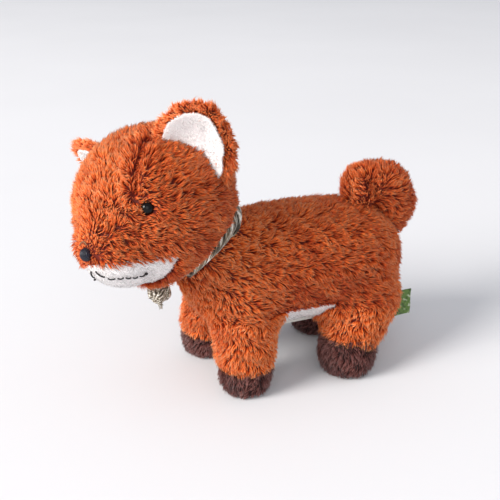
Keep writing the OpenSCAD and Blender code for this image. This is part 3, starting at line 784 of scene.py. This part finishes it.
muzzle_turn = HEAD @ Matrix.Rotation(math.radians(4), 4, "Y")
muzzle = copy_of(head, "muzzle")
for piece in (head, muzzle):
    wedge = block("wedge", (-0.1, -0.06, -0.1), (-0.012, 0.06, -0.0262), muzzle_turn)
    if piece is head:
        carve(piece, wedge)
    else:
        keep_common(piece, wedge)
        bpy.data.objects.remove(wedge)
for piece in (head, muzzle):
    collar = drum("collar", NECK @ Matrix.Translation((0, 0, -0.02)), 33.5, 24.3, sides=96)
    carve(collar, drum("inside", NECK @ Matrix.Translation((0, 0, -0.03)), 23.8, 50, sides=96))
    carve(piece, collar)
    bpy.ops.object.select_all(action="DESELECT")
    bpy.ops.mesh.primitive_torus_add(major_radius=29.2 * MM, minor_radius=6.7 * MM, major_segments=96,
                                     minor_segments=32)
    hollow = bpy.context.active_object
    hollow.data.transform(NECK @ Matrix.Translation((0, 0, 0.0034)))
    carve(piece, hollow)

# Tail: a fat curl with two lobes and a deep cleft between them.
curl = [((73, 0, 85), 12), ((78, 0, 94), 12.5), ((72, 0, 105), 13.5), ((63, 0, 108), 12.5),
        ((53, -2, 109), 11), ((52, -3, 102), 10.5)]
tail = joined("tail", *[hull_of("curl", a, ra, b, rb) for (a, ra), (b, rb) in zip(curl[:-1], curl[1:])])
remesh(tail, 2.0)
soften(tail, 8)
stuff(tail, 1.2, voxel=2.6)
cleft = ((52, -4, 124), (56, -11, 110), (59, -13, 98), (66, -14, 88))
crease(tail, [np.array(in_body(*p)) for p in cleft], 5.0, 2.8)
carve(tail, blunt_body("clear", 3.6))


# ---------------------------------------------------------------- ears

EAR_UP, EAR_BACK, EAR_FACE = (-0.07, -0.855, 0.513), (0.571, -0.4, -0.714), (-0.82, -0.25, -0.52)
EAR_AT = (4, -31.5, 21)


def ear_frame(side):
    """Across, up and out of the ear's hollow side, from the middle of its seam"""
    flip = Vector((1, -side, 1))
    axes = [Vector(a) * flip for a in (EAR_BACK, EAR_UP, EAR_FACE)]
    at = (Vector(EAR_AT) + Vector((-2, 0, -5)) * (side == FAR)) * flip * MM
    return HEAD @ Matrix([[*(a[k] for a in axes), at[k]] for k in range(3)] + [[0, 0, 0, 1]])


def dish(name, place, outline, centre, thick, hollow, lift, rings=36):
    """A soft pad pressed out of a ball: the outline round a centre, in millimetres, sunk in the middle"""
    piece = ball(name, Matrix.Identity(4), 1000, rings=rings)
    co = places(piece)
    rim = np.array(outline, float) - centre
    rim = rim[np.argsort(np.arctan2(rim[:, 1], rim[:, 0]))]
    turn = np.arctan2(co[:, 1], co[:, 0])
    rim_turn, rim_reach = np.arctan2(rim[:, 1], rim[:, 0]), np.hypot(rim[:, 0], rim[:, 1])
    reach = np.interp(turn, rim_turn, rim_reach, period=2 * math.pi)
    rho = np.clip(np.hypot(co[:, 0], co[:, 1]), 0, 1)
    x = centre[0] + np.cos(turn) * reach * rho
    y = centre[1] + np.sin(turn) * reach * rho
    z = lift + hollow * (rho**2 - 1) + np.sign(co[:, 2]) * thick / 2 * np.sqrt(np.maximum(1 - rho**4, 0))
    put(piece, np.stack([x, y, z], 1) * MM)
    piece.data.transform(place)
    edited(piece, bpy.ops.mesh.normals_make_consistent, inside=False)
    soften(piece, 5)
    return piece


RIM = [(-20.8, 7.5), (-20, 14.8), (-17.2, 23.8), (-12, 31), (-5.8, 34.8), (1.2, 33.4), (8, 28.4),
       (14.8, 19.8), (19.2, 10.8), (20.6, 4), (15, -5), (0, -8), (-14, -5)]
LINING = [(-17.8, 2), (-19, 10.5), (-16.2, 22), (-10.6, 29.6), (-4.3, 32.4), (4.1, 27.6), (12.9, 15.2),
          (17.3, 5), (14, -4), (0, -6), (-13, -4)]
EAR_MIDDLE = (0, 12)
EAR_SWELL = 1.07
rim = [(EAR_SWELL * x, EAR_MIDDLE[1] + EAR_SWELL * (y - EAR_MIDDLE[1])) for x, y in RIM]
ears, linings = {}, {}
for side, s in SIDES.items():
    place = ear_frame(s)
    ears[side] = dish(f"ear_{side}_form", place, rim, EAR_MIDDLE, 3.8, 7.0, 0.0)
    linings[side] = dish(f"lining_{side}_form", place, LINING, EAR_MIDDLE, 2.2, 6.6, 2.4)
    fold = [place @ (Vector(p) * MM) for p in ((-3, 24, -2), (1, 15, -4), (4, 6, -3))]
    crease(linings[side], [np.array(p) for p in fold], 0.7, 1.5)


# ---------------------------------------------------------------- covering with pile

covers = {"torso": torso, "head": head, "muzzle": muzzle, "tail": tail, "belly": belly}
covers.update({f"leg {e} {s}": o for (e, s), o in legs.items()})
covers.update({f"paw {e} {s}": o for (e, s), o in paws.items()})
covers.update({f"ear {s}": o for s, o in ears.items()})
covers.update({f"lining {s}": o for s, o in linings.items()})
trees = {key: tree_of(o) for key, o in covers.items()}
HEAD_SIDE = {"head", "muzzle", "ear left", "ear right", "lining left", "lining right"}


def others(name):
    """The covers on the same moving body that pile of this one could start inside"""
    mine = name in HEAD_SIDE
    return [tree for key, tree in trees.items() if key != name and (key in HEAD_SIDE) == mine]


def steady(*way):
    """Pile that lies one way all over"""
    return lambda p, n: np.tile(np.array(way, float), (len(p), 1))


def from_point(point, down=0.0):
    """Pile that lies away from a point, and a little downwards"""
    at = np.array(point)
    return lambda p, n: unit(p - at) + np.array([0, 0, -down])


KNOT = (-36, -7, -3.5)


def scarf_line(turn):
    """How far out, and how high along the neck, the middle of the scarf lies at each turn round it"""
    side_on = np.abs(np.sin(turn)) ** 1.2
    return 27 + 2.0 * side_on, -1.8 + 6.4 * side_on * (1 - 0.25 * np.cos(turn))


def from_scarf(local):
    """Distance from the middle of the rolled scarf, in millimetres"""
    out, high = scarf_line(np.arctan2(local[:, 1], local[:, 0]))
    return np.hypot(np.hypot(local[:, 0], local[:, 1]) - out, local[:, 2] - high)


def keep_out(p, n):
    """The room for the core, and what the scarf covers"""
    low, high = np.array(room_low), np.array(room_high)
    inside = ((p > low - 0.0008) & (p < high + 0.0008)).all(1)
    local = seen_from(NECK, p)
    flat = np.hypot(local[:, 0], local[:, 1])
    ring = from_scarf(local) < 4.8
    cap = (local[:, 2] > -1.4) & (local[:, 2] < 1.8) & (flat < 24)
    return inside | ring | cap


def scarf_trim(p, n):
    """Shorter pile beside the scarf, so that the roll stays in sight"""
    local = seen_from(NECK, p)
    knot = np.linalg.norm(local - np.array(KNOT), axis=1)
    return np.clip((from_scarf(local) - 4) / 9, 0.25, 1) * np.clip((knot - 5) / 8, 0.2, 1)


def near_eyes(p):
    """Distance from the nearer eye, in millimetres"""
    far = np.full(len(p), 1.0)
    for side in (NEAR, FAR):
        eye = in_head(*(Vector((-29, 31 * side, 1)).normalized() * 41.5))
        far = np.minimum(far, np.linalg.norm(p - np.array(eye), axis=1))
    return far / MM


nose_at = in_head(-49.6, 0, -17)


def head_trim(p, n):
    """Shorter pile by the eyes, the nose, the darts and the scarf"""
    nose = np.linalg.norm(p - np.array(nose_at), axis=1) / MM
    short = np.clip((near_eyes(p) - 1.0) / 6, 0.35, 1) * (1 - 0.55 * np.exp(-((from_dart(p) / 2.6) ** 2)))
    return short * np.clip(nose / 15, 0.35, 1) * scarf_trim(p, n)


def head_bare(p, n):
    """No pile under the eyes, the nose and the scarf"""
    nose = np.linalg.norm(p - np.array(nose_at), axis=1) / MM
    return keep_out(p, n) | (near_eyes(p) < 2.6) | (nose < 3.4)


def head_painted_light_and_shade(p, n):
    """Painted light paler on the forehead and cheek, painted shade deeper at the side and below, and painted
    shade dark along each dart's groove
    """
    local = seen_from(HEAD, p)
    # painted light towards the front and top, painted shade in the dart grooves
    return (0.20 * np.clip(-local[:, 0] / 30, -1, 1) + 0.14 * np.clip(local[:, 2] / 30, -1, 1)
            - 0.8 * np.exp(-((from_dart(p) / 2.0) ** 2)))


def head_flow(p, n):
    """Away from the nose, and parted along each dart"""
    way = unit(p - np.array(nose_at)) + np.array([0, 0, -0.3])
    for side in (NEAR, FAR):
        away = off_path(p, [np.array(in_head(*q)) for q in dart_of(side, DART_R)]) / MM
        near = np.exp(-((np.linalg.norm(away, axis=1, keepdims=True) / 7) ** 2))
        way = way * (1 - 0.8 * near) + unit(away) * 1.6 * near
    return way


def torso_flow(p, n):
    """Back along the flanks, and down over the rump"""
    local = (p - np.array(SHIFT)) / MM
    rear = np.clip((local[:, 0] - 40) / 30, 0, 1)[:, None]
    return np.array([0.9, 0, -0.45]) * (1 - rear) + np.array([0.1, 0, -1.0]) * rear


def torso_painted_light_and_shade(p, n):
    """Painted shade deepest along the flank, painted light paler where the pile faces up and on the chest and
    rump
    """
    local = (p - np.array(SHIFT)) / MM
    # painted light on up-facing pile, chest and rump, painted shade on the flank
    return (0.26 * np.clip(n[:, 2], -0.4, 1) - 0.14 + 0.55 * np.clip((-local[:, 0] - 10) / 26, 0, 1)
            + 0.16 * np.clip((local[:, 0] - 45) / 30, 0, 1))


def off_form(p):
    """Which points lie on a seam's cut, inside the filled form, and not on its outside"""
    return np.array([form_tree.find_nearest(Vector(q))[3] > 0.0005 for q in p], bool)


def beside_belly(p):
    """Shorter pile along the belly's seam"""
    local = (p - np.array(SHIFT)) / MM
    beside = (np.abs(local[:, 0] + 2) < 25) & (local[:, 2] < 60)
    return np.where(beside, np.clip((local[:, 2] - 44) / 14, 0.35, 1), 1)


def bare_form(p, n):
    """No pile in the core's room, under the scarf or on a seam's cut"""
    return keep_out(p, n) | off_form(p)


def leg_flow(end):
    """Down the leg, a little backwards at the front one and forwards at the rear one"""
    return steady(0.12, 0, -1) if end == "front" else steady(-0.35, 0, -1)


made = {}
made["torso_pile"] = pile("torso_pile", torso, torso_flow, rust, 11, trees=[trees["tail"]],
                          bare=bare_form, tint=torso_painted_light_and_shade,
                          trim=lambda p, n: scarf_trim(p, n) * beside_belly(p))
made["head_pile"] = pile("head_pile", head, head_flow, rust, 12, trees=others("head"),
                         bare=head_bare, trim=head_trim, tint=head_painted_light_and_shade)
made["muzzle_pile"] = pile("muzzle_pile", muzzle, from_point(nose_at), cream, 13, per_mm2=3.0, length=1.4,
                           trees=others("muzzle"), bare=head_bare, **SHORT)
made["belly_pile"] = pile("belly_pile", belly, steady(1, 0, 0), cream, 14, per_mm2=2.2, length=1.6,
                          bare=bare_form, **SHORT)
made["tail_pile"] = pile("tail_pile", tail, from_point(in_body(58, -8, 98)), rust, 15, length=5.2)
for k, (end, side) in enumerate(legs):
    made[f"leg_{end}_{side}_pile"] = pile(
        f"leg_{end}_{side}_pile", legs[end, side], leg_flow(end), rust, 20 + k, length=5.4,
        # tint: paler lower down the leg, painted light standing for the bounce off the white floor.
        trees=[trees[f"paw {end} {side}"]], bare=bare_form, tint=lambda p, n: 0.48 - (p[:, 2] - 0.015) * 5.0,
        trim=lambda p, n: np.clip(0.62 + (p[:, 2] - 0.016) / 0.02, 0.62, 1))
    made[f"paw_{end}_{side}_pile"] = pile(
        f"paw_{end}_{side}_pile", paws[end, side], steady(-0.45, 0, -1), brown, 30 + k, length=4.6,
        width=0.6, trees=others(f"paw {end} {side}"), bare=lambda p, n: (p[:, 2] < 0.0012) & (n[:, 2] < -0.5))
for k, side in enumerate(SIDES):
    middle = ear_frame(SIDES[side]) @ (Vector((0, 10, 0)) * MM)
    made[f"ear_{side}_pile"] = pile(
        f"ear_{side}_pile", ears[side], from_point(middle), rust, 40 + k, length=5.4, rise=0.35, per_mm2=2.4,
        trees=others(f"ear {side}"), tint=lambda p, n: np.full(len(p), 0.12))
    made[f"ear_{side}_lining"] = pile(
        f"ear_{side}_lining", linings[side], from_point(middle), cream, 44 + k, length=1.3, per_mm2=3.0,
        trees=[trees["head"]], **SHORT)

stands_for = {
    "torso_pile": ("body", "rust_plush", ["torso_cover"]),
    "head_pile": ("head", "rust_plush", ["head_cover"]),
    "muzzle_pile": ("head", "cream_plush", ["muzzle_panel"]),
    "belly_pile": ("body", "cream_plush", ["belly_panel"]),
    "tail_pile": ("tail", "rust_plush", ["tail_cover"]),
}
for end in ENDS:
    for side in SIDES:
        stands_for[f"leg_{end}_{side}_pile"] = ("body", "rust_plush", [f"leg_{end}_{side}"])
        stands_for[f"paw_{end}_{side}_pile"] = ("body", "brown_plush", [f"paw_{end}_{side}"])
for side in SIDES:
    stands_for[f"ear_{side}_pile"] = ("head", "rust_plush", [f"ear_{side}"])
    stands_for[f"ear_{side}_lining"] = ("head", "cream_plush", [f"ear_lining_{side}"])
for name, (body, slot, nodes) in stands_for.items():
    for k, piece in enumerate(made[name]):
        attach(piece, body)
        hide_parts(*nodes)


# ---------------------------------------------------------------- stitched face


def thread(name, points, radius):
    """A closed run of thread through points, radius in millimetres"""
    curve = bpy.data.curves.new(name, "CURVE")
    curve.dimensions = "3D"
    curve.bevel_depth = radius * MM
    curve.bevel_resolution = 2
    curve.use_fill_caps = True
    curve.resolution_u = 4
    spline = curve.splines.new("POLY")
    spline.points.add(len(points) - 1)
    for knot, p in zip(spline.points, points):
        knot.co = (*p, 1)
    piece = bpy.data.objects.new(name, curve)
    bpy.context.scene.collection.objects.link(piece)
    only(piece)
    bpy.ops.object.convert(target="MESH")
    return bpy.context.active_object


def bowed(a, b, out, steps=6):
    """Points from a to b, bowed out by a vector in the middle"""
    return [a.lerp(b, t / steps) + out * (4 * t / steps * (1 - t / steps)) for t in range(steps + 1)]


# Nose: rows of floss over a pad, so its face has fine upright ridges.
nose = ball("nose_stitching", Matrix.Identity(4), 3.4, (0.85, 1.06, 0.98), rings=64)
co = places(nose)
ridge = 0.5 + 0.5 * np.cos(2 * math.pi * co[:, 1] / (0.62 * MM))
put(nose, co * (1 + 0.05 * ridge)[:, None])
nose.data.transform(HEAD @ Matrix.Translation(Vector((-49.4, 0, -17)) * MM))
nose.data.materials.append(nose_floss)

# One bowed stitch over the nose.
lift = HEAD.to_3x3() @ Vector((-0.48, 0, 0.3)) * MM
half_arc = [(-49.6, 3.4, -12.4), (-49.3, 1.8, -10.9), (-49.2, 0, -10.4)]
arc = [(x, -y, z) for x, y, z in half_arc] + half_arc[-2::-1]
arc_thread = thread("nose_arc", [in_head(*p) + lift for p in arc], 0.32)
arc_thread.data.materials.append(thread_brown)

# Mouth: running stitches out from the middle to a knot on each side.
MOUTH = [(-47.8, -1.8, -25.9), (-43.7, -5.8, -31.1), (-40.7, -10.3, -31.9), (-37.8, -13.3, -32.1),
         (-34.6, -14.7, -32.9), (-31.1, -15.9, -33.2), (-27.2, -17.3, -32.5)]
stitches = []
for side in (FAR, NEAR):
    run = []
    for x, y, z in MOUTH:
        at, normal, _, _ = trees["muzzle"][0].find_nearest(in_head(x, y * side, z))
        run.append((at + normal * 1.0 * MM, normal))
    for (a, na), (b, nb) in zip(run[:-1], run[1:]):
        bow = bowed(a.lerp(b, 0.10), a.lerp(b, 0.84), (na + nb) * 0.35 * MM)
        stitches.append(thread("stitch", bow, 0.42))
    stitches.append(ball("stitch_knot", Matrix.Translation(run[-1][0]), 0.85, rings=8))
mouth = joined("mouth_stitching", *stitches)
mouth.data.materials.clear()
mouth.data.materials.append(thread_black)
for piece, slot, node in ((nose, "nose_thread", "nose"), (arc_thread, "nose_thread", "nose"),
                          (mouth, "mouth_thread", "mouth_stitches")):
    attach(piece, "head")
    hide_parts(node)


# ---------------------------------------------------------------- scarf and label


def smooth(piece):
    """Shades a piece as one smooth surface"""
    piece.data.polygons.foreach_set("use_smooth", np.ones(len(piece.data.polygons), bool))


def solid_sheet(piece, thick):
    """Gives a sheet its thickness, in millimetres"""
    modifier = piece.modifiers.new("Solidify", "SOLIDIFY")
    modifier.thickness = thick * MM
    modifier.offset = 0
    finish_modifier(piece, modifier)
    smooth(piece)


def grid(name, across, along):
    """A flat unit grid, with its own map"""
    bpy.ops.object.select_all(action="DESELECT")
    bpy.ops.mesh.primitive_grid_add(x_subdivisions=along, y_subdivisions=across, size=1)
    piece = bpy.context.active_object
    piece.name = name
    return piece


# Scarf: a cotton strip rolled on itself along its length, laid round the neck with a twist.
scarf = grid("scarf_roll", 46, 420)
co = places(scarf)
u, v = co[:, 0] + 0.5, co[:, 1] + 0.5
round_neck = 2 * math.pi * u
near_nape = 0.5 + 0.5 * np.cos(round_neck)
tube = 5.0 - 1.4 * near_nape**2 + 0.25 * np.sin(5 * round_neck + 1)
roll = 2 * math.pi * (1.55 * v + 5 * u)
pleats = 1 + 0.07 * np.sin(4 * roll - 30 * u) * v
r = (0.9 + (tube - 0.9) * v**0.75) * pleats + 0.16 * np.sin(11 * roll) * v
middle_out, middle_high = scarf_line(round_neck)
reach = middle_out + r * np.cos(roll)
high_now = middle_high + r * np.sin(roll) + 0.4 * np.sin(2 * round_neck + 0.5)
put(scarf, np.stack([reach * np.cos(round_neck), reach * np.sin(round_neck), high_now], 1) * MM)
scarf.data.transform(NECK)
solid_sheet(scarf, 0.45)
scarf.data.materials.append(cotton)
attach(scarf, "body")
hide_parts("scarf_band")

# The scarf's knot, with two short ends that fray.
knot_at = NECK @ Matrix.Translation(Vector(KNOT) * MM)
knot = ball("scarf_tie", Matrix.Identity(4), 6.4, (0.95, 1.15, 0.95), rings=48)
co = places(knot)
swirl_now = np.arctan2(co[:, 2], co[:, 1]) * 3 + co[:, 0] / (1.5 * MM)
put(knot, co * (1 + 0.09 * np.sin(swirl_now) + 0.03 * np.sin(swirl_now * 4 + 1))[:, None])
knot.data.transform(knot_at)
rng = np.random.default_rng(71)
ends = [knot]
for s in (NEAR, FAR):
    a = knot_at @ (Vector((-2, 3 * s, -2)) * MM)
    b = knot_at @ (Vector((-4.0, 6.2 * s, -3.0)) * MM)
    tail_end = thread("end", bowed(a, b, Vector((-1, 0, 0.5)) * MM, 8), 2.0)
    co = places(tail_end)
    along = np.array((b - a).normalized())
    run = (co - np.array(a)) @ along
    far = np.clip(run / (b - a).length, 0, 1)
    axis = np.array(a) + np.outer(run, along)
    put(tail_end, axis + (co - axis) * (1 - 0.35 * far + 0.12 * np.sin(far * 20))[:, None])
    ends.append(tail_end)
    for _ in range(16):
        way = Vector(unit(np.array(b - a) / np.linalg.norm(b - a) + rng.normal(size=3) * 0.45))
        start = b + Vector(rng.normal(size=3)) * 0.7 * MM
        ends.append(thread("fray", bowed(start, start + way * rng.uniform(1.5, 3.2) * MM,
                                         Vector(rng.normal(size=3)) * 0.4 * MM, 4), 0.14))
tie = joined("scarf_tie", *ends)
smooth(tie)
tie.data.materials.clear()
tie.data.materials.append(cotton)
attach(tie, "body")
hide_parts("scarf_knot")

# The label tab, with a soft wave.
low, high = (Vector(c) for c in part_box("side_label"))
tab = grid("side_tab", 30, 30)
co = places(tab)
x = (low.x + high.x) / 2 + co[:, 0] * (high.x - low.x)
z = (low.z + high.z) / 2 + co[:, 1] * (high.z - low.z)
y = (low.y + high.y) / 2 + (0.8 * np.sin(3 * co[:, 0] + 0.6) + 0.3 * np.sin(7 * co[:, 1])) * MM
put(tab, np.stack([x, y, z], 1))
solid_sheet(tab, 0.6)
tab.data.materials.append(ribbon)
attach(tab, "body")
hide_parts("side_label")


# ---------------------------------------------------------------- pieces kept from the model

FINISHES = {
    "rust_plush": rust, "cream_plush": cream, "brown_plush": brown,
    "scarf_cotton": cotton, "label_ribbon": ribbon,
    "eye_plastic": eye_plastic, "nose_thread": nose_floss, "mouth_thread": thread_black,
    "core_plastic": core_plastic, "black_plastic": black_plastic, "gear_nylon": nylon, "steel": steel,
    "brass": brass, "board": board_mask, "cell_sleeve": sleeve,
}
for part in frame["record"]["subparts"]:
    node = frame["nodes"][part["node"]]
    node.data.materials.clear()
    node.data.materials.append(FINISHES[part["material_slot"]])


# ---------------------------------------------------------------- floor and light

bpy.ops.object.select_all(action="DESELECT")
bpy.ops.mesh.primitive_plane_add(size=12, location=(0, 0, -0.0003))
floor = bpy.context.active_object
floor.name = "floor"
# Matt painted board, almost white, with a faint cool cast.
floor.data.materials.append(grained("matt_white_board", "#e6e7eb", "#e9eaee", 400, 0.85, 0.05))
floor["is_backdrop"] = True

world = bpy.data.worlds.new("studio")
bpy.context.scene.world = world
world.use_nodes = True
sky = world.node_tree.nodes["Background"]
sky.inputs["Color"].default_value = colour("#f6f8fd")
sky.inputs["Strength"].default_value = 0.57


MIDDLE = Vector((0, 0, 0.06))


def softbox(name, at, size, power, tone):
    """A round soft light of a size in metres, aimed at the animal's middle"""
    data = bpy.data.lights.new(name, "AREA")
    data.shape = "DISK"
    data.size = size
    data.energy = power
    data.color = colour(tone)[:3]
    lamp = bpy.data.objects.new(name, data)
    bpy.context.scene.collection.objects.link(lamp)
    lamp.location = at
    lamp.rotation_mode = "QUATERNION"
    lamp.rotation_quaternion = (MIDDLE - Vector(at)).to_track_quat("-Z", "Y")


softbox("key", Vector((-0.86, -0.16, 0.50)) * 7, 3.4, 620, "#fffaf4")
# A weak fill from the camera's side, as a white wall would give.
softbox("fill", Vector((-0.35, -0.80, 0.45)) * 6, 4.6, 85, "#fdfaf6")
bpy.context.scene.view_settings.view_transform = "Standard"

low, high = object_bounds()
